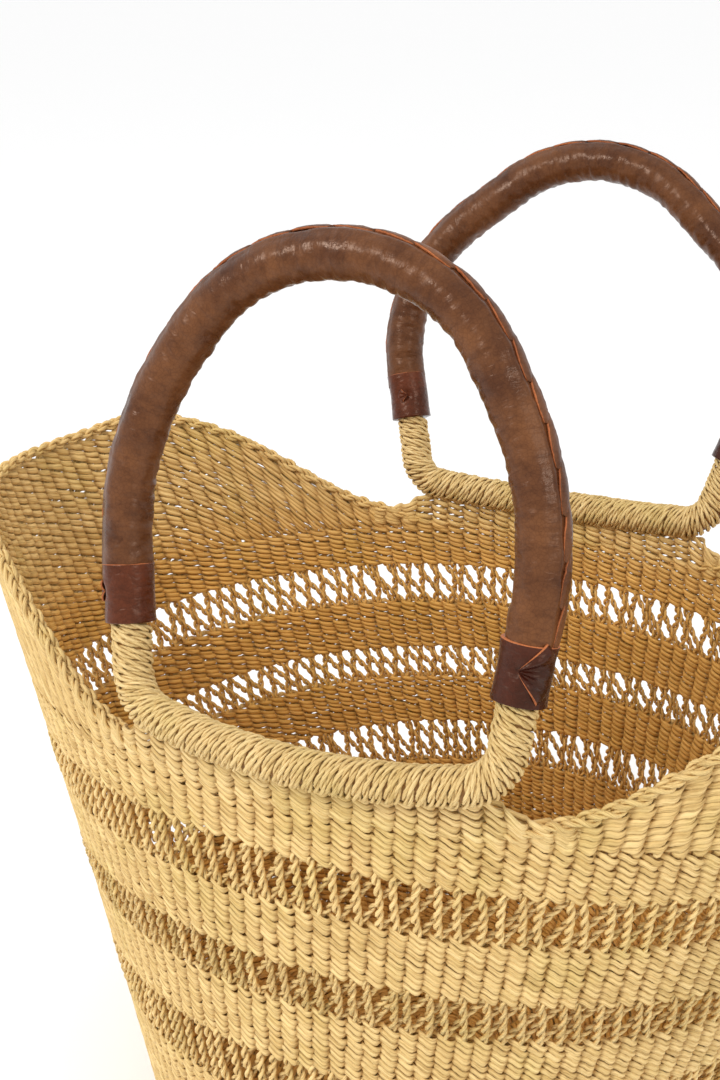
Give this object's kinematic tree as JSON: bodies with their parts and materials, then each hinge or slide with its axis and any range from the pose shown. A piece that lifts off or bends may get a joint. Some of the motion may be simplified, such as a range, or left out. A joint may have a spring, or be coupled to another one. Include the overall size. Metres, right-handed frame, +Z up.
{
  "type": "woven market basket",
  "caption": "Boat-shaped woven grass basket with raised ends, openwork lace bands and looped handles sleeved in laced leather, for carrying shopping or storing things.",
  "frame": {"origin": "middle of the underside of the base, where the basket stands", "axes": "+X along the mouth towards the right wing, -Y towards the front handle, +Z up"},
  "size_m": [0.4808, 0.3665, 0.4594],
  "materials": {
    "woven_grass": "dry matte straw",
    "grass_bundle": "dry matte straw",
    "grass_cord": "dry matte straw",
    "brown_leather": "waxed, glossy creases",
    "leather_thong": "satin with raw orange edges",
    "dark_leather": "glossy"
  },
  "bodies": {
    "basket": {"base": "woven_grass", "foot_wall": "woven_grass", "lower_wall": "woven_grass", "lower_lace_band": "woven_grass", "lower_middle_wall": "woven_grass", "middle_lace_band": "woven_grass", "upper_middle_wall": "woven_grass", "upper_lace_band": "woven_grass", "upper_wall": "woven_grass", "left_wing": "woven_grass", "right_wing": "woven_grass", "rim_border": "woven_grass"},
    "front_handle": {"front_arch_core": "grass_bundle", "front_bar_core": "grass_bundle", "front_bar_wrap": "grass_cord", "front_upright_wrap": "grass_cord", "front_bar_lashing": "grass_cord", "front_leather_sleeve": "brown_leather", "front_seam_lacing": "leather_thong", "front_left_cuff": "dark_leather", "front_right_cuff": "dark_leather", "front_left_knot": "dark_leather", "front_right_knot": "dark_leather"},
    "rear_handle": {"rear_arch_core": "grass_bundle", "rear_bar_core": "grass_bundle", "rear_bar_wrap": "grass_cord", "rear_upright_wrap": "grass_cord", "rear_bar_lashing": "grass_cord", "rear_leather_sleeve": "brown_leather", "rear_seam_lacing": "leather_thong", "rear_left_cuff": "dark_leather", "rear_right_cuff": "dark_leather", "rear_left_knot": "dark_leather", "rear_right_knot": "dark_leather"}
  },
  "joints": [
    {"name": "front_handle_tilt", "type": "hinge", "parent": "basket", "child": "front_handle", "pos_m": [0, -0.1443, 0.2647], "axis": [1, 0, 0], "range_deg": [-23, 57]},
    {"name": "rear_handle_tilt", "type": "hinge", "parent": "basket", "child": "rear_handle", "pos_m": [0, 0.1443, 0.2647], "axis": [-1, 0, 0], "range_deg": [-60, 20]}
  ]
}
